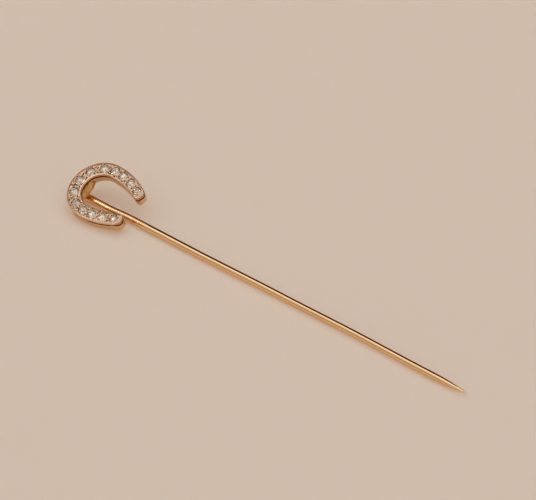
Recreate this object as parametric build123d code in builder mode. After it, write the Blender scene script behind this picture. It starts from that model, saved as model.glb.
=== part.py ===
from build123d import *
import os
from math import asin, atan2, cos, degrees, hypot, radians, sin, tan

# Horseshoe stick pin, lying on a table. Millimetres, +Z up, +X along the stem towards its point.
# The origin is on the table, below the middle of the pin's box.

# Horseshoe, seen on its face. The toe is its round closed end, the heels are its two open ends.
outer_radius = 4.11
toe_band = 1.73
side_band = 1.70
heel_band = 1.35
heel_gap = 2.28
heel_reach = 5.25
heel_slant = 15.0
heel_corner_radius = 0.55
outer_shoulder_angle = 91.0
inner_shoulder_angle = 89.0

# Layers of the head, from its back to its face
body_thickness = 1.07
seam_gap = 0.03
plate_thickness = 0.40
rim_width = 0.16
bed_depth = 0.12

# Stones of one arm, from the toe to the heel; the other arm is alike.
# place is the share of the way along the arm, and size the share of the largest stone's width.
largest_stone = 1.24
ARM_STONES = [
    {"place": 0.0, "size": 0.98},
    {"place": 0.160, "size": 1.0},
    {"place": 0.330, "size": 1.0},
    {"place": 0.474, "size": 0.99},
    {"place": 0.603, "size": 0.97},
    {"place": 0.742, "size": 0.94},
    {"place": 0.891, "size": 0.86},
]
table_share = 0.56
girdle_share = 0.06
culet_share = 0.05
crown_angle = 35.0
upper_girdle_angle = 41.0
pavilion_angle = 41.0
lower_girdle_angle = 43.0
main_facets = 8

# Setting of the stones
stone_clearance = 0.03
back_hole_radius = 0.42
girdle_drop = 0.05
seat_ledge = 0.08
grain_radius = 0.10
grain_height = 0.15
grain_taper = 20.0

# Neck and stem
pin_length = 62.0
stem_radius = 0.515
shank_radius = 0.44
shank_length = 20.0
point_length = 3.3
tip_radius = 0.03
neck_inset = 0.30
neck_overlap = 0.35
neck_bend_radius = 0.62
foot_depth = 0.50
foot_half_width = 1.05
foot_height = 0.50
foot_side_shift = 0.40
stem_gap = 0.57
stem_side_shift = 0.26
head_turn = -1.05

# Heights in the head, along its own normal, from the stem's axis up
back_height = stem_radius + stem_gap
body_top_height = back_height + body_thickness
plate_back_height = body_top_height + seam_gap
face_height = plate_back_height + plate_thickness
bed_height = face_height - bed_depth
girdle_height = bed_height - girdle_drop
girdle_foot_height = girdle_height - girdle_share * largest_stone / 2

# The pin lies on its stem and on the back edge of its lower arm, so its head leans by this roll.
lean_arm = outer_radius - stem_side_shift
roll = asin(stem_radius / hypot(lean_arm, back_height)) + atan2(back_height, lean_arm)

# The stem's place, which puts the origin below the middle of the pin's box
high_side = (outer_radius + stem_side_shift) * cos(roll) - back_height * sin(roll)
low_side = lean_arm * cos(roll) + face_height * sin(roll)
stem_y = (low_side - high_side) / 2
head_x = outer_radius - pin_length / 2
tip_reach = pin_length - outer_radius

# The lean plane holds the stem's axis and is parallel to the face. The head plane is the same
# plane, turned and shifted to the middle of the head.
lean_plane = Plane(
    origin=(head_x, stem_y, stem_radius), x_dir=(1, 0, 0), z_dir=(0, -sin(roll), cos(roll))
)
head_plane = Plane(lean_plane.location * Location((0, stem_side_shift, 0), (0, 0, head_turn)))

# Circles and heel points of the outer edge, the inner edge and the row of stones between them
toe_inner_radius = outer_radius - side_band
toe_inner_centre = toe_inner_radius + toe_band - outer_radius
heel_inner_y = heel_gap / 2
heel_outer_x = heel_reach + heel_band * tan(radians(heel_slant))
heel_outer_y = heel_inner_y + heel_band
row_radius = (outer_radius + toe_inner_radius) / 2
row_centre = toe_inner_centre / 2
row_shoulder_angle = (outer_shoulder_angle + inner_shoulder_angle) / 2
row_end_x = (heel_reach + heel_outer_x) / 2
row_end_y = (heel_inner_y + heel_outer_y) / 2


def arm_edge(centre, radius, shoulder_angle, end_x, end_y, side):
    """An edge of one arm: a round stretch from the toe to the shoulder, then a flatter one."""
    quarter_angle = radians((180 + shoulder_angle) / 2)
    shoulder = radians(shoulder_angle)
    toe_point = (centre - radius, 0)
    quarter_point = (centre + radius * cos(quarter_angle), side * radius * sin(quarter_angle))
    shoulder_point = (centre + radius * cos(shoulder), side * radius * sin(shoulder))
    ThreePointArc(toe_point, quarter_point, shoulder_point)
    TangentArc(shoulder_point, (end_x, side * end_y), tangent=(sin(shoulder), -side * cos(shoulder)))


def horseshoe_face(height, inset=0.0):
    """The horseshoe's outline as a face, at a height in the head, set in from its edge by inset."""
    with BuildSketch(head_plane.offset(height)) as face:
        with BuildLine():
            for side in (1, -1):
                arm_edge(0, outer_radius, outer_shoulder_angle, heel_outer_x, heel_outer_y, side)
                arm_edge(
                    toe_inner_centre, toe_inner_radius, inner_shoulder_angle,
                    heel_reach, heel_inner_y, side,
                )
                Line((heel_reach, side * heel_inner_y), (heel_outer_x, side * heel_outer_y))
        make_face()
        fillet(face.vertices().group_by(Axis.X)[-1], heel_corner_radius)
        if inset > 0:
            offset(amount=-inset, mode=Mode.REPLACE)
    return face.sketch


def stone_places():
    """Place in the head, direction along the row, and width of each stone, from heel to heel."""
    with BuildLine() as row:
        arm_edge(row_centre, row_radius, row_shoulder_angle, row_end_x, row_end_y, 1)
    arm = row.wire()
    high_arm = []
    for stone in ARM_STONES:
        centre = arm.position_at(stone["place"])
        along = arm.tangent_at(stone["place"])
        high_arm.append((centre.X, centre.Y, atan2(along.Y, along.X), stone["size"] * largest_stone))
    low_arm = [(x, -y, -angle, size) for x, y, angle, size in high_arm[1:]]
    return low_arm[::-1] + high_arm


places = stone_places()
centres = [(x, y) for x, y, _, _ in places]
pavilion_slope = tan(radians(pavilion_angle))

# Gold: the stem, its neck and the body, soldered into one
neck_x = neck_inset + toe_band - outer_radius
bend_end = neck_x + neck_bend_radius
shank_end = tip_reach - point_length
shank_start = shank_end - shank_length
with BuildPart() as gold_mount:
    # The stem tapers to an even shank, which is drawn to a point
    with BuildSketch(lean_plane):
        with BuildLine():
            Polyline(
                (tip_reach, tip_radius), (tip_reach, 0), (bend_end, 0),
                (bend_end, stem_radius), (shank_start, shank_radius), (shank_end, shank_radius),
            )
            TangentArc((shank_end, shank_radius), (tip_reach, tip_radius), tangent=(1, 0))
        make_face()
    revolve(axis=Axis(lean_plane.origin, lean_plane.x_dir))

    # Its thick end is bent up into a neck, which stands at the foot of the toe's inner wall
    stem_end = Plane(
        origin=lean_plane.from_local_coords((bend_end, 0, 0)),
        x_dir=lean_plane.y_dir, z_dir=lean_plane.x_dir,
    )
    with BuildSketch(stem_end):
        Circle(stem_radius)
    bend_pivot = lean_plane.from_local_coords((bend_end, 0, neck_bend_radius))
    revolve(axis=Axis(bend_pivot, lean_plane.y_dir), revolution_arc=90)
    neck_start = Plane(
        origin=lean_plane.from_local_coords((neck_x, 0, neck_bend_radius)),
        x_dir=lean_plane.x_dir, z_dir=lean_plane.z_dir,
    )
    with BuildSketch(neck_start):
        Circle(stem_radius)
    extrude(amount=back_height + neck_overlap - neck_bend_radius)

    # A foot spreads from the neck along the toe's inner wall, towards the lower arm
    with BuildSketch(lean_plane.offset(back_height)):
        with Locations((neck_x, -foot_side_shift)):
            Ellipse(foot_depth, foot_half_width)
    extrude(amount=foot_height)

    # The body is drilled behind each stone, for light and for the stone's point
    extrude(horseshoe_face(back_height), amount=body_thickness)
    with BuildSketch(head_plane.offset(body_top_height)):
        with Locations(*centres):
            Circle(back_hole_radius)
    extrude(amount=-body_thickness, mode=Mode.SUBTRACT)

# White metal: the face plate with its rim, bed, seats and grains
seat_depth = bed_height - girdle_foot_height + seat_ledge * pavilion_slope + stone_clearance
with BuildPart() as white_setting:
    extrude(horseshoe_face(plate_back_height), amount=plate_thickness)
    extrude(horseshoe_face(bed_height, rim_width), amount=bed_depth, mode=Mode.SUBTRACT)

    # Each seat is a round pocket with a narrower hole through its floor, which leaves a ledge
    with BuildSketch(head_plane.offset(bed_height)):
        for x, y, _, size in places:
            with Locations((x, y)):
                Circle(size / 2 + stone_clearance)
    extrude(amount=-seat_depth, mode=Mode.SUBTRACT)
    with BuildSketch(head_plane.offset(bed_height)):
        for x, y, _, size in places:
            with Locations((x, y)):
                Circle(size / 2 - seat_ledge)
    extrude(amount=-plate_thickness, mode=Mode.SUBTRACT)

    # Four grains stand round each stone, a clearance away from it
    for x, y, angle, size in places:
        with BuildSketch(head_plane.offset(bed_height)):
            with Locations(Location((x, y, 0), (0, 0, degrees(angle) + 45))):
                with PolarLocations(size / 2 + stone_clearance + grain_radius, 4):
                    Circle(grain_radius)
        extrude(amount=grain_height, taper=grain_taper)

# A cut stone of unit radius: a flat table, a crown, a girdle, and a pavilion down to its culet
table_height = (1 - table_share) * tan(radians(crown_angle))
culet_depth = girdle_share + (1 - culet_share) * pavilion_slope
facet_step = 360 / main_facets
with BuildPart() as cut_stone:
    with BuildSketch(Plane.XY.offset(-culet_depth)):
        RegularPolygon(1, main_facets * 2)
    extrude(amount=culet_depth + table_height)
    for facet in range(main_facets):
        main_way = facet * facet_step
        between_way = main_way + facet_step / 2
        for way, slope, height, side in (
            (main_way, crown_angle, 0, 1),
            (between_way, upper_girdle_angle, 0, 1),
            (main_way, pavilion_angle, -girdle_share, -1),
            (between_way, lower_girdle_angle, -girdle_share, -1),
        ):
            out_x = cos(radians(way))
            out_y = sin(radians(way))
            tilt = radians(slope)
            normal = (out_x * sin(tilt), out_y * sin(tilt), side * cos(tilt))
            split(bisect_by=Plane(origin=(out_x, out_y, height), z_dir=normal), keep=Keep.BOTTOM)

pieces = {"gold_mount": gold_mount.part, "white_setting": white_setting.part}
for number, (x, y, angle, size) in enumerate(places, start=1):
    with BuildPart() as stone:
        with Locations(head_plane.location * Location((x, y, girdle_height), (0, 0, degrees(angle)))):
            add(scale(cut_stone.part, by=size / 2, mode=Mode.PRIVATE))
    pieces[f"stone_{number:02d}"] = stone.part

os.makedirs("parts", exist_ok=True)
for name, piece in pieces.items():
    piece.label = name
    export_step(piece, f"parts/{name}.step")
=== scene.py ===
import math
import random

import bmesh
import bpy
from mathutils import Matrix, Vector
from mathutils.geometry import delaunay_2d_cdt


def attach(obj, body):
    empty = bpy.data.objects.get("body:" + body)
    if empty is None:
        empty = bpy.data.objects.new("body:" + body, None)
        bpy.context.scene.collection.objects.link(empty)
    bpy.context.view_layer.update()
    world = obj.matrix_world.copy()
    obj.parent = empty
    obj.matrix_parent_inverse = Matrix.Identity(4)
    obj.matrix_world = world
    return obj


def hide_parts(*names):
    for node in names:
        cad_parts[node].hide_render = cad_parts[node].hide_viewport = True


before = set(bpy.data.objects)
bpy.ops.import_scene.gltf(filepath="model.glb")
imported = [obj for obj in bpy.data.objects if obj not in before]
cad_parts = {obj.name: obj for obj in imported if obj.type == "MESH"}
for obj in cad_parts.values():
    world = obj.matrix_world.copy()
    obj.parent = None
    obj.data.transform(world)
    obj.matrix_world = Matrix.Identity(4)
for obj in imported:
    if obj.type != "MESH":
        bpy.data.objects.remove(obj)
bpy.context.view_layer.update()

# Horseshoe stick pin lying on a table. Sizes are in millimetres and become metres in the meshes.
MM = 0.001

# Horseshoe, seen on its face
outer_radius = 4.11
toe_band = 1.73
side_band = 1.70
heel_band = 1.35
heel_gap = 2.28
heel_reach = 5.25
heel_slant = 15.0
heel_corner_radius = 0.55
outer_shoulder_angle = 91.0
inner_shoulder_angle = 89.0
outline_points = 320

# How finely the rounds are divided, and what counts as one point or as inside a hole
round_sides = 40
pit_sides = 12
grain_sides = 14
merge_distance = 1e-7
hole_inside_share = 0.98

# Layers of the head
body_thickness = 1.07
seam_gap = 0.03
plate_thickness = 0.40
rim_width = 0.16
bed_depth = 0.12
back_round = 0.07
seam_round = 0.12
body_bulge = 0.04
plate_flare = 0.06
rim_round = 0.16

# The bed ends short of the heels. Round it the rim's wall leans, and a groove runs along its foot.
heel_stop = 5.02
heel_fade = 0.12
bed_wall_lean = 0.055
rim_edge_width = 0.01
rim_edge_drop = 0.015
groove_depth = 0.04
groove_inner_width = 0.01
groove_outer_width = 0.004
bed_level_slack = 0.005
bed_upward_share = 0.3

# Stones and their setting
table_share = 0.50
girdle_share = 0.06
girdle_reach_share = 0.995
crown_angles = (30.0, 38.0)
pavilion_angles = (36.0, 45.0)
stone_lean = 4.0
stone_clearance = 0.02
seat_bevel = 0.01
seat_bevel_depth = 0.03
seat_ledge = 0.1
ledge_low = 0.08
ledge_high = 0.2
back_hole_radius = 0.42
back_hole_bevel = 0.06
grain_radius = 0.12
grain_rise = 0.14
grain_sink = 0.02
grain_reach_share = 0.8
grain_top_angle = 75
pit_radius = 0.10
pit_point = 0.01
pit_depth = 0.1
pit_side_shift = 0.36

# Neck and stem
pin_length = 62.0
stem_radius = 0.515
shank_radius = 0.44
shank_length = 20.0
point_length = 5.0
tip_radius = 0.03
neck_tuck = 0.37
neck_bend_radius = 0.62
neck_overlap = 0.20
neck_stray = -0.31
stem_gap = 0.57
stem_side_shift = 0.26
head_turn = -1.05

# Bends of the stem, as the photo shows it: where each starts and ends, measured from the middle of the
# head, and how far it shifts what follows sideways
STEM_BENDS = [(1, 5, 0.16), (14, 29, 0.15), (29, 40, 0.08), (40, 51, -0.08)]

# Foot of the neck, which starts narrow and spreads as it rises up the toe's inner wall. The last
# four are shares of its rise.
foot_low = 0.80
foot_top = 2.02
foot_reach = 0.74
foot_start_setback = 0.20
foot_top_setback = 0.62
foot_half_depth = 0.42
foot_swell = 0.06
foot_thinning = 0.24
foot_half_width = 0.45
foot_spread = 1.15
foot_side_shift = 0.42
foot_set_by = 0.35
foot_opened_by = 0.5
foot_shifted_by = 0.6
foot_fall_span = (0.3, 1.15)

# Heights in the head, along its own normal, from the stem's axis up
back_height = stem_radius + stem_gap
body_top_height = back_height + body_thickness
plate_back_height = body_top_height + seam_gap
face_height = plate_back_height + plate_thickness
bed_height = face_height - bed_depth

# The pin lies on its stem and on the back edge of its lower arm, so its head leans by this roll
lean_arm = outer_radius - stem_side_shift
roll = math.asin(stem_radius / math.hypot(lean_arm, back_height)) + math.atan2(back_height, lean_arm)
high_side = (outer_radius + stem_side_shift) * math.cos(roll) - back_height * math.sin(roll)
low_side = lean_arm * math.cos(roll) + face_height * math.sin(roll)
stem_y = (low_side - high_side) / 2
head_x = outer_radius - pin_length / 2
tip_reach = pin_length - outer_radius

lean_frame = (
    Matrix.Translation((head_x, stem_y, stem_radius)) @ Matrix.Rotation(roll, 4, "X")
)
head_frame = (
    lean_frame
    @ Matrix.Translation((0, stem_side_shift, 0))
    @ Matrix.Rotation(math.radians(head_turn), 4, "Z")
)

# View, as the photo shows the pin: the way that the camera looks, and how far it is
view_azimuth = 40.40
view_elevation = 37.5
view_distance = 700.0
view_aim = (-5.61, 6.99)
view_width = 65.81

# Stretches of the stem, measured from the middle of the head
toe_wall_x = toe_band - outer_radius
neck_x = toe_wall_x - neck_tuck
bend_end = neck_x + neck_bend_radius
shank_end = tip_reach - point_length
shank_start = shank_end - shank_length


def spread(first, last, count):
    """Values from first to last, evenly spread, both ends among them."""
    return [first + (last - first) * step / (count - 1) for step in range(count)]


def round_angles(sides):
    """The angles of a round's corners, in radians."""
    return spread(0, 2 * math.pi, sides + 1)[:-1]


def tangent_arc(start, heading, end, count):
    """Points of the arc that leaves start along heading and reaches end, without its first point."""
    chord = end - start
    turn = math.atan2(heading.x * chord.y - heading.y * chord.x, heading.dot(chord))
    points = []
    for share in spread(0, 1, count)[1:]:
        part = share * turn
        reach = chord.length * math.sin(part) / math.sin(turn)
        points.append(start + Matrix.Rotation(part, 2) @ heading * reach)
    return points


def arm_edge(centre, radius, shoulder_angle, end):
    """An edge of the raised arm, from the toe to the heel: a round stretch, then a flatter one."""
    shoulder = math.radians(shoulder_angle)
    points = [
        Vector((centre + radius * math.cos(angle), radius * math.sin(angle)))
        for angle in spread(math.pi, shoulder, 90)
    ]
    heading = Vector((math.sin(shoulder), -math.cos(shoulder)))
    return points + tangent_arc(points[-1], heading, end, 60)


def round_corner(before, corner, after, radius):
    """The arc that rounds a corner of an outline, and how far from the corner it starts."""
    back = (before - corner).normalized()
    onward = (after - corner).normalized()
    half = back.angle(onward) / 2
    cut = radius / math.tan(half)
    centre = corner + (back + onward).normalized() * (radius / math.sin(half))
    first = corner + back * cut - centre
    last = corner + onward * cut - centre
    sweep = math.atan2(first.x * last.y - first.y * last.x, first.dot(last))
    return [centre + Matrix.Rotation(angle, 2) @ first for angle in spread(0, sweep, 16)], cut


def even_loop(points, count):
    """The closed outline through points, divided evenly into count points."""
    closed = points + points[:1]
    lengths = [0.0]
    for start, end in zip(closed, closed[1:]):
        lengths.append(lengths[-1] + (end - start).length)
    loop = []
    step = 0
    for place in spread(0, lengths[-1], count + 1)[:-1]:
        while lengths[step + 1] < place:
            step += 1
        share = (place - lengths[step]) / (lengths[step + 1] - lengths[step])
        loop.append(closed[step].lerp(closed[step + 1], share))
    return loop


def horseshoe_outline():
    """The outline of the face, and at each point the way into the metal."""
    inner_radius = outer_radius - side_band
    inner_centre = inner_radius + toe_band - outer_radius
    inner_heel = Vector((heel_reach, heel_gap / 2))
    outer_heel = inner_heel + Vector((heel_band * math.tan(math.radians(heel_slant)), heel_band))
    outer = arm_edge(0, outer_radius, outer_shoulder_angle, outer_heel)
    inner = arm_edge(inner_centre, inner_radius, inner_shoulder_angle, inner_heel)[::-1]
    outer_arc, outer_cut = round_corner(outer[-2], outer_heel, inner_heel, heel_corner_radius)
    inner_arc, inner_cut = round_corner(outer_heel, inner_heel, inner[1], heel_corner_radius)
    raised = [p for p in outer if (p - outer_heel).length > outer_cut] + outer_arc + inner_arc
    raised += [p for p in inner if (p - inner_heel).length > inner_cut]
    lowered = [Vector((p.x, -p.y)) for p in raised[-2:0:-1]]
    loop = even_loop(raised + lowered, outline_points)
    inward = []
    for index in range(len(loop)):
        along = loop[(index + 1) % len(loop)] - loop[index - 1]
        inward.append(Vector((along.y, -along.x)).normalized())
    return loop, inward


def add_ring(points, ring):
    """Adds a ring of points and gives their numbers."""
    first = len(points)
    points.extend(ring)
    return list(range(first, len(points)))


def join_rings(faces, low, high):
    """Joins two rings of the same count with four-sided faces."""
    for index in range(len(low)):
        ahead = (index + 1) % len(low)
        faces.append((low[index], low[ahead], high[ahead], high[index]))


def fill_level(points, faces, rim, holes):
    """Fills a level face between its rim and the rings of its holes."""
    numbers = list(rim)
    edges = [(index, (index + 1) % len(rim)) for index in range(len(rim))]
    middles = []
    for ring in holes:
        first = len(numbers)
        numbers += ring
        count = len(ring)
        edges += [(first + index, first + (index + 1) % count) for index in range(count)]
        middle = sum((Vector(points[n][:2]) for n in ring), Vector((0, 0))) / count
        middles.append((middle, (Vector(points[ring[0]][:2]) - middle).length))
    flat = [Vector(points[n][:2]) for n in numbers]
    _, _, triangles, origins, _, _ = delaunay_2d_cdt(flat, edges, [], 1, merge_distance)
    for triangle in triangles:
        corners = [origins[n][0] for n in triangle]
        middle = sum((flat[n] for n in corners), Vector((0, 0))) / 3
        if all((middle - hole).length > radius * hole_inside_share for hole, radius in middles):
            faces.append([numbers[n] for n in corners])


def round_bore(points, faces, middle, bore_wall, sides):
    """Adds the wall of a round hole from its rings' radius and height, and gives the rings."""
    rings = []
    for radius, height in bore_wall:
        ring = [
            (middle.x + radius * math.cos(angle), middle.y + radius * math.sin(angle), height)
            for angle in round_angles(sides)
        ]
        rings.append(add_ring(points, ring))
    for low, high in zip(rings, rings[1:]):
        join_rings(faces, low, high)
    return rings


def horseshoe_slab(wall, holes, pits=(), bed_wall=()):
    """Points and faces of a horseshoe layer. wall gives the inset and height of each ring of its
    wall, from the back up and over to the front level, and bed_wall those of the wall down to a
    bed, which ends short of the heels. Each hole has its middle and the radius and height of its
    own rings, from the back to the front. A pit is a hole that has a bottom."""
    loop, inward = horseshoe_outline()
    points = []
    faces = []
    rings = [
        add_ring(points, [(*(p + way * inset), height) for p, way in zip(loop, inward)])
        for inset, height in wall
    ]
    for inset, height in bed_wall:
        spots = [p + way * inset for p, way in zip(loop, inward)]
        rings.append(add_ring(points, [(min(x, heel_stop), y, height) for x, y in spots]))
    for low, high in zip(rings, rings[1:]):
        join_rings(faces, low, high)
    bores = [round_bore(points, faces, middle, bore_wall, round_sides) for middle, bore_wall in holes]
    sinks = [round_bore(points, faces, middle, sink_wall, pit_sides) for middle, sink_wall in pits]
    faces.extend(tuple(sink[0]) for sink in sinks)
    fill_level(points, faces, rings[0], [bore[0] for bore in bores])
    fill_level(points, faces, rings[-1], [bore[-1] for bore in bores + sinks])
    return points, faces


def make_piece(name, points, faces, place, finish, sharp_angle=35, sunk_finish=None, is_sunk=None):
    """One piece of the pin, with its points given in the frame called place. Its faces that
    is_sunk picks by their middle and normal there take the sunk finish."""
    mesh = bpy.data.meshes.new(name)
    mesh.from_pydata([place @ Vector(p) * MM for p in points], [], faces)
    mesh.validate()
    tidy = bmesh.new()
    tidy.from_mesh(mesh)
    bmesh.ops.recalc_face_normals(tidy, faces=tidy.faces)
    tidy.to_mesh(mesh)
    tidy.free()
    mesh.shade_smooth()
    mesh.set_sharp_from_angle(angle=math.radians(sharp_angle))
    mesh.materials.append(finish)
    if sunk_finish:
        mesh.materials.append(sunk_finish)
        level = place.inverted()
        for face in mesh.polygons:
            if is_sunk(level @ (face.center / MM), level.to_3x3() @ face.normal):
                face.material_index = 1
    piece = bpy.data.objects.new(name, mesh)
    bpy.context.scene.collection.objects.link(piece)
    return piece


def rounded_wall(low, high, low_round, high_round, low_inset=0, high_inset=0):
    """Insets and heights of a wall from a low to a high level, with both its edges rounded."""
    rows = []
    for angle in spread(-90, 0, 6):
        rise = math.radians(angle)
        inset = low_inset + low_round * (1 - math.cos(rise))
        rows.append((inset, low + low_round * (1 + math.sin(rise))))
    for angle in spread(0, 90, 6):
        rise = math.radians(angle)
        inset = high_inset + high_round * (1 - math.cos(rise))
        rows.append((inset, high - high_round * (1 - math.sin(rise))))
    return rows


class Shade:
    """A value in a finish. Sums, differences, products and quotients add their Math nodes."""

    def __init__(self, finish, socket):
        self.finish = finish
        self.socket = socket

    def work(self, operation, first, second):
        return self.finish.add("ShaderNodeMath", {"operation": operation}, {0: first, 1: second})

    def __add__(self, other):
        return self.work("ADD", self, other)

    def __sub__(self, other):
        return self.work("SUBTRACT", self, other)

    def __mul__(self, other):
        return self.work("MULTIPLY", self, other)

    def __truediv__(self, other):
        return self.work("DIVIDE", self, other)

    def __rsub__(self, other):
        return self.work("SUBTRACT", other, self)

    __radd__ = __add__
    __rmul__ = __mul__


class Workbench:
    """A set of nodes that are added one by one."""

    def __init__(self, tree):
        self.tree = tree

    def add(self, kind, settings=None, inputs=None, output=0):
        """A node of that kind with its settings, then its inputs, and gives one output."""
        node = self.tree.nodes.new(kind)
        for key, value in (settings or {}).items():
            setattr(node, key, value)
        for key, value in (inputs or {}).items():
            self.feed(node.inputs[key], value)
        return Shade(self, node.outputs[output])

    def feed(self, socket, value):
        """Links a worked-out value to a socket, or sets a plain one on it."""
        if isinstance(value, Shade):
            self.tree.links.new(value.socket, socket)
        else:
            socket.default_value = value

    def blend(self, share, first, second):
        """One colour turning into another as share goes from 0 to 1."""
        settings = {"data_type": "RGBA", "blend_type": "MIX", "clamp_factor": True}
        inputs = {0: share, 6: (*first, 1.0) if isinstance(first, tuple) else first}
        inputs[7] = (*second, 1.0) if isinstance(second, tuple) else second
        return self.add("ShaderNodeMix", settings, inputs, output=2)

    def band(self, value, low, high):
        """0 where value is under low, 1 where it is over high, and a smooth rise between."""
        settings = {"interpolation_type": "SMOOTHSTEP"}
        return self.add("ShaderNodeMapRange", settings, {0: value, 1: low, 2: high})


# Painted shade in the seam between body and plate, and painted shade in the bed's recesses: where each
# starts and is full, measured from the level beside it
seam_shade_colour = (0.05, 0.012, 0.005)
body_seam_start = 0.19
body_seam_full = 0.08
plate_seam_start = 0.13
plate_seam_full = 0.06
recess_shade_start = 0.005
recess_shade_full = 0.03


class Finish(Workbench):
    """The finish of a surface: a material whose nodes are added one by one."""

    def __init__(self, name):
        self.material = bpy.data.materials.new(name)
        self.material.use_nodes = True
        super().__init__(self.material.node_tree)
        self.shader = self.tree.nodes["Principled BSDF"]
        self.place = self.add("ShaderNodeTexCoord", output="Object")

    def surface(self, **inputs):
        """Feeds the surface itself. Base_Color stands for the socket Base Color."""
        for key, value in inputs.items():
            self.feed(self.shader.inputs[key.replace("_", " ")], value)
        return self.material

    def noise(self, size, stretch=(1, 1, 1), detail=3, roughness=0.5):
        """Noise from 0 to 1, whose grains are size millimetres, longer where stretch is above 1."""
        grid = [1 / (size * MM * share) for share in stretch]
        spot = self.add(
            "ShaderNodeMapping", {"vector_type": "POINT"},
            {"Vector": self.place, "Scale": grid},
        )
        return self.add(
            "ShaderNodeTexNoise", {"noise_dimensions": "3D"},
            {"Vector": spot, "Scale": 1.0, "Detail": detail, "Roughness": roughness},
        )

    def head_place(self, *axis):
        """How far a spot is from the head's middle along an axis of the head, in millimetres."""
        way = head_frame.to_3x3() @ Vector(axis)
        settings = {"operation": "DOT_PRODUCT"}
        reach = self.add("ShaderNodeVectorMath", settings, {0: self.place, 1: way}, output="Value")
        return reach / MM - way.dot(head_frame.translation)

    def relief(self, height, depth, strength=1.0):
        """The bent normal of a height from 0 to 1 that stands for depth millimetres."""
        inputs = {"Height": height, "Distance": depth * MM, "Strength": strength}
        return self.add("ShaderNodeBump", {}, inputs)


def wire_gold():
    """Drawn and polished gold wire: fine lines along it, and a soft waviness from wear."""
    finish = Finish("wire_gold")
    lines = finish.noise(0.12, stretch=(40, 1, 1), detail=1)
    clouds = finish.noise(2.4, stretch=(2, 1, 1))
    waves = finish.noise(1.6, stretch=(4, 1, 1), detail=1)
    colour = finish.blend(clouds, (0.89, 0.62, 0.36), (0.83, 0.55, 0.30))
    return finish.surface(
        Base_Color=colour,
        Metallic=1.0,
        Roughness=0.05 + 0.05 * lines + 0.05 * clouds,
        Normal=finish.relief(0.15 * lines + waves, 0.007),
        Specular_Tint=(1.0, 0.45, 0.25, 1.0),
    )


def body_gold():
    """Polished gold of the body, with faint file marks, clouding where fingers reach less, and painted
    shade darkening its top edge by the seam.
    """
    finish = Finish("body_gold")
    marks = finish.noise(0.12, stretch=(1, 1, 4), detail=2)
    clouds = finish.noise(1.3)
    unshaded = finish.blend(clouds, (0.87, 0.57, 0.32), (0.79, 0.48, 0.26))
    height = finish.head_place(0, 0, 1)
    patches = 0.6 + 0.4 * finish.band(finish.noise(1.8, detail=1), 0.38, 0.46)
    # Painted shade: the top edge by the seam turns dark in patches, for the shade that falls in the
    # seam
    seam = patches * finish.band(
        height, body_top_height - body_seam_start, body_top_height - body_seam_full
    )
    return finish.surface(
        Base_Color=finish.blend(seam, unshaded, seam_shade_colour),
        Metallic=1.0,
        Roughness=0.14 + 0.12 * clouds + 0.05 * marks,
        Normal=finish.relief(0.3 * marks + clouds, 0.012),
    )


def solder_gold():
    """Gold solder of the foot, left a little rough and uneven where the file didn't reach."""
    finish = Finish("solder_gold")
    lumps = finish.noise(0.42, detail=2)
    stains = finish.band(finish.noise(0.7, detail=1), 0.42, 0.62)
    return finish.surface(
        Base_Color=finish.blend(stains, (0.88, 0.53, 0.23), (0.66, 0.34, 0.13)),
        Metallic=1.0,
        Roughness=0.20 + 0.14 * lumps,
        Normal=finish.relief(lumps, 0.07),
    )


def plate_white():
    """White metal of the face plate's rim and wall, with painted shade darkening its back edge by the
    seam.
    """
    finish = Finish("plate_white")
    nicks = finish.noise(0.25, detail=3)
    clouds = finish.noise(0.7)
    bright = finish.blend(clouds, (0.93, 0.67, 0.48), (0.77, 0.53, 0.375))
    # The heel ends take gold, not white metal, and that gold is darkened as painted shade
    heel = finish.band(finish.head_place(1, 0, 0), heel_stop, heel_stop + heel_fade)
    unshaded = finish.blend(heel, bright, (0.54, 0.35, 0.23))
    height = finish.head_place(0, 0, 1)
    # Painted shade: the back edge by the seam turns dark, for the shade that falls in the seam
    seam = finish.band(
        height, plate_back_height + plate_seam_start, plate_back_height + plate_seam_full
    )
    return finish.surface(
        Base_Color=finish.blend(seam, unshaded, seam_shade_colour),
        Metallic=1.0,
        Roughness=0.08 + 0.10 * nicks,
        Normal=finish.relief(nicks, 0.016),
    )


def bed_white():
    """White metal of the bed, left rough by the cutter, with painted shade darkening what lies deeper.
    """
    finish = Finish("bed_white")
    cuts = finish.noise(0.16, detail=2, roughness=0.6)
    spots = finish.noise(0.20, detail=1)
    unshaded = finish.blend(finish.band(spots, 0.50, 0.62), (0.92, 0.67, 0.485), (0.14, 0.07, 0.04))
    height = finish.head_place(0, 0, 1)
    # Painted shade: pits, grooves and seat floors below the bed's level turn near black
    recess_shade = finish.band(height, bed_height - recess_shade_start, bed_height - recess_shade_full)
    return finish.surface(
        Base_Color=finish.blend(recess_shade, unshaded, (0.07, 0.045, 0.03)),
        Metallic=1.0,
        Roughness=0.2 + 0.2 * spots,
        Normal=finish.relief(cuts, 0.08),
    )


def grain_white():
    """White metal of the grains, burnished round by the setting tool."""
    finish = Finish("grain_white")
    dents = finish.noise(0.06, detail=1)
    colour = finish.blend(dents, (0.98, 0.76, 0.57), (0.85, 0.61, 0.44))
    return finish.surface(
        Base_Color=colour,
        Metallic=1.0,
        Roughness=0.12 + 0.1 * dents,
        Normal=finish.relief(dents, 0.006),
    )


def stone_clear():
    """A clear cut stone, with a little haze from wear, and dark specks painted in at random for the
    dark reflections that a cut stone shows.
    """
    finish = Finish("stone_clear")
    haze = finish.noise(0.5)
    # Painted reflection: dark specks at random, for the dark reflections in the stones
    dark_reflection_specks = finish.band(finish.noise(0.26, detail=1), 0.40, 0.56)
    colour = finish.blend(dark_reflection_specks, (0.52, 0.31, 0.18), (1.0, 0.90, 0.77))
    return finish.surface(
        Base_Color=colour,
        Roughness=0.004 + 0.01 * haze,
        IOR=2.42,
        Transmission_Weight=1.0,
    )


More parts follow.
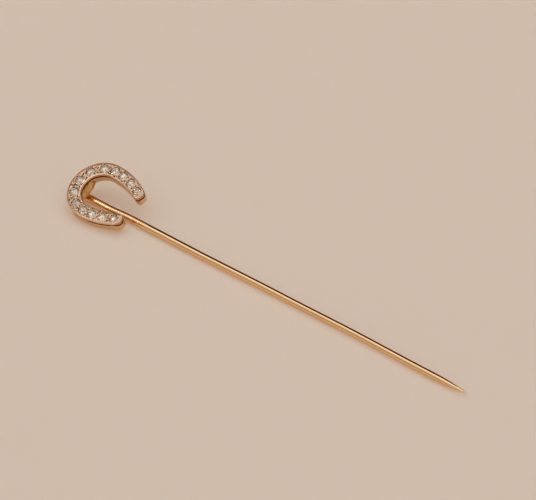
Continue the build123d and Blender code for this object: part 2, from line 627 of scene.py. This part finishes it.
def stone_facets(middle, turn, radius, girdle_height, crown_angle, pavilion_angle):
    """A round cut stone: a table, a crown with stars and kites, a girdle, a pavilion and a culet."""
    crown_slope = math.tan(math.radians(crown_angle))
    pavilion_slope = math.tan(math.radians(pavilion_angle))
    star_reach = 0.79
    lower_reach = 0.24
    culet_reach = 0.05
    quarter = math.cos(math.radians(22.5))
    levels = [
        (8, 0.0, table_share, (1 - table_share) * crown_slope),
        (8, 22.5, star_reach, (1 - star_reach * quarter) * crown_slope),
        (16, 0.0, 1.0, 0.0),
        (16, 0.0, 1.0, -girdle_share),
        (8, 22.5, lower_reach, -girdle_share - (1 - lower_reach * quarter) * pavilion_slope),
        (8, 22.5, culet_reach / quarter, -girdle_share - (1 - culet_reach) * pavilion_slope),
    ]
    points = []
    rings = []
    for count, offset, reach, height in levels:
        ring = []
        for step in range(count):
            angle = turn + math.radians(offset + 360 * step / count)
            x = middle.x + radius * reach * math.cos(angle)
            y = middle.y + radius * reach * math.sin(angle)
            ring.append((x, y, girdle_height + radius * height))
        rings.append(add_ring(points, ring))
    table, stars, crown_edge, foot_edge, lower, culet = rings
    faces = [tuple(table), tuple(culet)]
    join_rings(faces, crown_edge, foot_edge)
    for step in range(8):
        ahead = (step + 1) % 8
        edge = 2 * step
        between = edge + 1
        next_edge = (edge + 2) % 16
        faces.append((table[step], table[ahead], stars[step]))
        faces.append((table[step], stars[step], crown_edge[edge], stars[step - 1]))
        faces.append((stars[step], crown_edge[edge], crown_edge[between]))
        faces.append((stars[step], crown_edge[between], crown_edge[next_edge]))
        faces.append((lower[step], foot_edge[edge], foot_edge[between]))
        faces.append((lower[step], foot_edge[between], foot_edge[next_edge]))
        faces.append((culet[step - 1], culet[step], lower[step], foot_edge[edge], lower[step - 1]))
    return points, faces


def stone_seats():
    """Each stone's name, middle, turn and radius in the head, read from its solid."""
    to_head = head_frame.inverted()
    seats = []
    for name in sorted(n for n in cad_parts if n.startswith("stone_")):
        spots = [to_head @ (v.co / MM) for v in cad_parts[name].data.vertices]
        low_x, high_x = min(s.x for s in spots), max(s.x for s in spots)
        low_y, high_y = min(s.y for s in spots), max(s.y for s in spots)
        middle = Vector(((low_x + high_x) / 2, (low_y + high_y) / 2))
        reaches = [(Vector((s.x, s.y)) - middle).length for s in spots]
        radius = max(reaches)
        girdle = [s for s, reach in zip(spots, reaches) if reach > radius * girdle_reach_share]
        farthest = max(girdle, key=lambda s: (s.x, s.y))
        turn = math.atan2(farthest.y - middle.y, farthest.x - middle.x)
        seats.append((name, middle, turn, radius, max(s.z for s in girdle)))
    return seats


seats = stone_seats()
gold_finish = body_gold()
wire_finish = wire_gold()
solder_finish = solder_gold()
plate_finish = plate_white()
bed_finish = bed_white()
grain_finish = grain_white()
stone_finish = stone_clear()

# Body: gold, drilled behind each stone
body_wall = rounded_wall(
    back_height, body_top_height, back_round, seam_round, high_inset=-body_bulge
)
body_holes = [
    (middle, [
        (back_hole_radius + back_hole_bevel, back_height),
        (back_hole_radius, back_height + back_hole_bevel),
        (back_hole_radius, body_top_height),
    ])
    for _, middle, _, _, _ in seats
]
body = make_piece("horseshoe_body", *horseshoe_slab(body_wall, body_holes), head_frame, gold_finish)
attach(body, "root")
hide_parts("gold_mount")

# Face plate: white metal, with a rim, a sunk bed and a seat for each stone
plate_wall = rounded_wall(
    plate_back_height, face_height, seam_round, rim_round, -plate_flare, -plate_flare
)
bed_wall = [
    (rim_width - bed_wall_lean, face_height),
    (rim_width - bed_wall_lean + rim_edge_width, face_height - rim_edge_drop),
    (rim_width - groove_inner_width, bed_height - groove_depth),
    (rim_width + groove_outer_width, bed_height),
]
plate_holes = []
for _, middle, _, radius, _ in seats:
    seat = radius + stone_clearance
    plate_holes.append((middle, [
        (radius - seat_ledge, plate_back_height),
        (radius - seat_ledge, plate_back_height + ledge_low),
        (seat, plate_back_height + ledge_high),
        (seat, bed_height - seat_bevel_depth),
        (seat + seat_bevel, bed_height),
    ]))
plate_pits = []
for (_, near, _, _, _), (_, far, _, _, _) in zip(seats, seats[1:]):
    across = Vector((near.y - far.y, far.x - near.x)).normalized()
    for side in (1, -1):
        spot = (near + far) / 2 + across * side * pit_side_shift
        plate_pits.append((spot, [(pit_point, bed_height - pit_depth), (pit_radius, bed_height)]))


def in_bed(spot, normal):
    """Whether a face of the plate is part of the bed, of a pit or of a seat's floor."""
    return spot.z < bed_height + bed_level_slack and normal.z > bed_upward_share


plate = make_piece(
    "face_plate", *horseshoe_slab(plate_wall, plate_holes, plate_pits, bed_wall), head_frame,
    plate_finish, sunk_finish=bed_finish, is_sunk=in_bed,
)
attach(plate, "root")
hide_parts("white_setting")


def grain_dome(points, faces, middle, radius, foot, rise):
    """Adds one round-topped grain that stands on the bed."""
    rings = []
    for angle in spread(0, grain_top_angle, 6):
        reach = radius * math.cos(math.radians(angle))
        height = foot + rise * math.sin(math.radians(angle))
        ring = [
            (middle.x + reach * math.cos(way), middle.y + reach * math.sin(way), height)
            for way in round_angles(grain_sides)
        ]
        rings.append(add_ring(points, ring))
    for low, high in zip(rings, rings[1:]):
        join_rings(faces, low, high)
    faces.append(tuple(rings[0]))
    faces.append(tuple(rings[-1]))


grain_points = []
grain_faces = []
for _, middle, turn, radius, _ in seats:
    for quarter in range(4):
        way = turn + math.radians(45 + 90 * quarter)
        reach = radius + stone_clearance + grain_radius * grain_reach_share
        spot = middle + Vector((math.cos(way), math.sin(way))) * reach
        grain_dome(
            grain_points, grain_faces, spot, grain_radius,
            bed_height - grain_sink, grain_rise + grain_sink,
        )
grains = make_piece("setting_grains", grain_points, grain_faces, head_frame, grain_finish)
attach(grains, "root")
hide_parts("white_setting")

setter = random.Random(13)
for name, middle, turn, radius, girdle_top in seats:
    turned = turn + setter.uniform(0, math.pi / 4)
    angles = setter.uniform(*crown_angles), setter.uniform(*pavilion_angles)
    points, faces = stone_facets(middle, turned, radius, girdle_top, *angles)
    pivot = Vector((*middle, girdle_top))
    lean = Matrix.Rotation(math.radians(setter.uniform(0, stone_lean)), 3, (
        math.cos(setter.uniform(0, 2 * math.pi)), math.sin(setter.uniform(0, 2 * math.pi)), 0
    ))
    points = [pivot + lean @ (Vector(p) - pivot) for p in points]
    stone = make_piece("cut_" + name, points, faces, head_frame, stone_finish, sharp_angle=1)
    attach(stone, "root")
    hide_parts(name)


def ease(x, low, high):
    """0 up to low, 1 from high on, and a smooth rise between."""
    share = min(max((x - low) / (high - low), 0), 1)
    return share * share * (3 - 2 * share)


def stem_stray(x):
    """How far the stem strays sideways from a straight line, as a hand-drawn wire does."""
    return neck_stray + sum(shift * ease(x, start, end) for start, end, shift in STEM_BENDS)


def stem_stations():
    """Middle, lean and radius of each ring of the stem, from its point back to the neck's top."""
    stations = []
    start = Vector((shank_end, shank_radius))
    end = Vector((tip_reach, tip_radius))
    ogive = [start] + tangent_arc(start, Vector((1, 0)), end, 28)
    for place in ogive[::-1]:
        stations.append((Vector((place.x, 0, 0)), 0.0, place.y))
    for x in spread(shank_end, shank_start, 60)[1:]:
        stations.append((Vector((x, stem_stray(x), 0)), 0.0, shank_radius))
    for x in spread(shank_start, bend_end, 90)[1:]:
        share = (shank_start - x) / (shank_start - bend_end)
        radius = shank_radius + (stem_radius - shank_radius) * share
        stations.append((Vector((x, stem_stray(x), 0)), 0.0, radius))
    for angle in spread(0, 90, 16)[1:]:
        lean = math.radians(angle)
        x = bend_end - neck_bend_radius * math.sin(lean)
        z = neck_bend_radius * (1 - math.cos(lean))
        stations.append((Vector((x, neck_stray, z)), lean, stem_radius))
    for z in spread(neck_bend_radius, back_height + neck_overlap, 6)[1:]:
        stations.append((Vector((neck_x, neck_stray, z)), math.pi / 2, stem_radius))
    return stations


def add_oval(points, middle, half_width, half_depth, upward):
    """Adds an oval ring round a middle, half_width to its sides and half_depth upward."""
    across = Vector((0, 1, 0))
    return add_ring(points, [
        middle + across * half_width * math.cos(way) + upward * half_depth * math.sin(way)
        for way in round_angles(round_sides)
    ])


def join_stack(rings):
    """Faces of a closed stack of rings."""
    faces = [tuple(rings[0]), tuple(rings[-1])]
    for low, high in zip(rings, rings[1:]):
        join_rings(faces, low, high)
    return faces


stem_points = []
stem_rings = []
for middle, lean, radius in stem_stations():
    upward = Vector((math.sin(lean), 0, math.cos(lean)))
    stem_rings.append(add_oval(stem_points, middle, radius, radius, upward))
stem = make_piece("neck_and_stem", stem_points, join_stack(stem_rings), lean_frame, wire_finish)
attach(stem, "root")
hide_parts("gold_mount")

# The foot of the neck: a web of solder that spreads up the toe's inner wall
foot_points = []
foot_rings = []
for share in spread(0, 1, 20):
    opened = ease(share, 0, foot_opened_by)
    reach = foot_reach - foot_start_setback * (1 - ease(share, 0, foot_set_by))
    reach -= foot_top_setback * ease(share, *foot_fall_span)
    half_depth = foot_half_depth + foot_swell * opened - foot_thinning * share
    half_width = foot_half_width + foot_spread * opened
    stray = neck_stray + foot_side_shift * ease(share, 0, foot_shifted_by)
    rise = foot_low + (foot_top - foot_low) * share
    middle = Vector((toe_wall_x + reach - half_depth, stray, rise))
    foot_rings.append(add_oval(foot_points, middle, half_width, half_depth, Vector((1, 0, 0))))
foot = make_piece("neck_foot", foot_points, join_stack(foot_rings), lean_frame, solder_finish)
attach(foot, "root")
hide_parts("gold_mount")


def table_finish():
    """Pale warm table covering, with a breath of tone and a fine tooth. It glows a little, a painted
    light that keeps the shadows on it light and warm.
    """
    finish = Finish("table_pale")
    tone = finish.noise(38, detail=2)
    tooth = finish.noise(0.35, detail=2)
    colour = finish.blend(tone, (0.595, 0.557, 0.525), (0.615, 0.577, 0.545))
    return finish.surface(
        Base_Color=colour,
        Roughness=0.6 + 0.15 * tooth,
        Normal=finish.relief(tooth, 0.02, 0.3),
        Subsurface_Weight=1.0,
        Subsurface_Radius=(1.0, 0.8, 0.65),
        Subsurface_Scale=7.0 * MM,
        # Painted light: the floor glows warm, so that shadows on it stay light and warm
        Emission_Color=(0.25, 0.17, 0.115, 1.0),
        Emission_Strength=1.0,
    )


table_reach = 900.0
table_drop = 0.004


def make_table():
    """The floor that the pin lies on, not part of it."""
    mesh = bpy.data.meshes.new("table")
    corners = [(-1, -1), (1, -1), (1, 1), (-1, 1)]
    spots = [Vector((x * table_reach, y * table_reach, -table_drop)) * MM for x, y in corners]
    mesh.from_pydata(spots, [], [(0, 1, 2, 3)])
    mesh.materials.append(table_finish())
    table = bpy.data.objects.new("table", mesh)
    bpy.context.scene.collection.objects.link(table)


# Small lamps round the pin, which make its stones spark: the azimuth and elevation of each
SPARK_LAMPS = [(-150, 62), (-60, 48), (-20, 66), (15, 35), (75, 58), (120, 40), (170, 70), (-110, 30)]
lamp_distance = 600
lamp_size = 22
lamp_power = 0.018
lamp_tone = (1.0, 0.92, 0.84)


def spark_lamp(name, azimuth, elevation):
    """A small square light that faces the pin. Azimuth counts as the view's does."""
    light = bpy.data.lights.new(name, "AREA")
    light.shape = "RECTANGLE"
    light.size = lamp_size * MM
    light.size_y = lamp_size * MM
    light.energy = lamp_power
    light.color = lamp_tone
    lamp = bpy.data.objects.new(name, light)
    lamp.matrix_world = looking_frame(azimuth, elevation, lamp_distance, (0, 0))
    bpy.context.scene.collection.objects.link(lamp)


def looking_frame(azimuth, elevation, distance, aim):
    """The frame of a camera or lamp that looks at a spot of the table from that side and height."""
    turn = math.radians(azimuth)
    rise = math.radians(elevation)
    back = Vector((math.sin(turn) * math.cos(rise), -math.cos(turn) * math.cos(rise), math.sin(rise)))
    across = Vector((math.cos(turn), math.sin(turn), 0))
    frame_axes = Matrix((across, back.cross(across), back)).transposed().to_4x4()
    return Matrix.Translation((Vector((*aim, 0)) + back * distance) * MM) @ frame_axes


def make_camera():
    """The camera, at the photo's angle and as far away as its perspective says."""
    camera = bpy.data.cameras.new("view")
    camera.sensor_width = 36.0
    camera.lens = camera.sensor_width * view_distance / view_width
    camera.clip_start = 0.05
    holder = bpy.data.objects.new("view", camera)
    holder.matrix_world = looking_frame(view_azimuth, view_elevation, view_distance, view_aim)
    bpy.context.scene.collection.objects.link(holder)
    bpy.context.scene.camera = holder


# The room: dark walls that turn pale higher up, and a white cloth above
dark_wall = (0.036, 0.011, 0.006)
pale_wall = (0.50, 0.42, 0.34)
white_cloth = (1.07, 1.05, 1.03)
wall_far_drop = 1.2
wall_right_lift = 0.6
wall_band = (0.30, 0.60)
cloth_side_drop = 0.3
cloth_far_drop = 0.4
cloth_band = (0.50, 0.64)


def make_room():
    """The dim room round the lights, which the polished metal mirrors."""
    world = bpy.data.worlds.new("room")
    world.use_nodes = True
    walls = Workbench(world.node_tree)
    way = walls.add("ShaderNodeTexCoord", output="Generated")
    parts = walls.add("ShaderNodeSeparateXYZ", {}, {0: way})
    along = Shade(walls, parts.socket.node.outputs["X"])
    side = Shade(walls, parts.socket.node.outputs["Y"])
    height = Shade(walls, parts.socket.node.outputs["Z"])
    far = walls.add("ShaderNodeMath", {"operation": "MAXIMUM"}, {0: side, 1: 0.0})
    sideways = walls.add("ShaderNodeMath", {"operation": "ABSOLUTE"}, {0: along})
    right = walls.add("ShaderNodeMath", {"operation": "MAXIMUM"}, {0: along, 1: 0.0})
    share = walls.band(height - wall_far_drop * side + wall_right_lift * right, *wall_band)
    near = walls.blend(share, dark_wall, pale_wall)
    above = walls.band(height - cloth_side_drop * sideways - cloth_far_drop * far, *cloth_band)
    background = world.node_tree.nodes["Background"]
    walls.feed(background.inputs["Color"], walls.blend(above, near, white_cloth))
    bpy.context.scene.world = world
    bpy.context.scene.cycles.max_bounces = 18
    bpy.context.scene.cycles.glossy_bounces = 12
    bpy.context.scene.cycles.transmission_bounces = 14
    bpy.context.scene.view_settings.view_transform = "Standard"


make_table()
make_camera()
make_room()
for number, (azimuth, elevation) in enumerate(SPARK_LAMPS, start=1):
    spark_lamp(f"spark_{number}", azimuth, elevation)
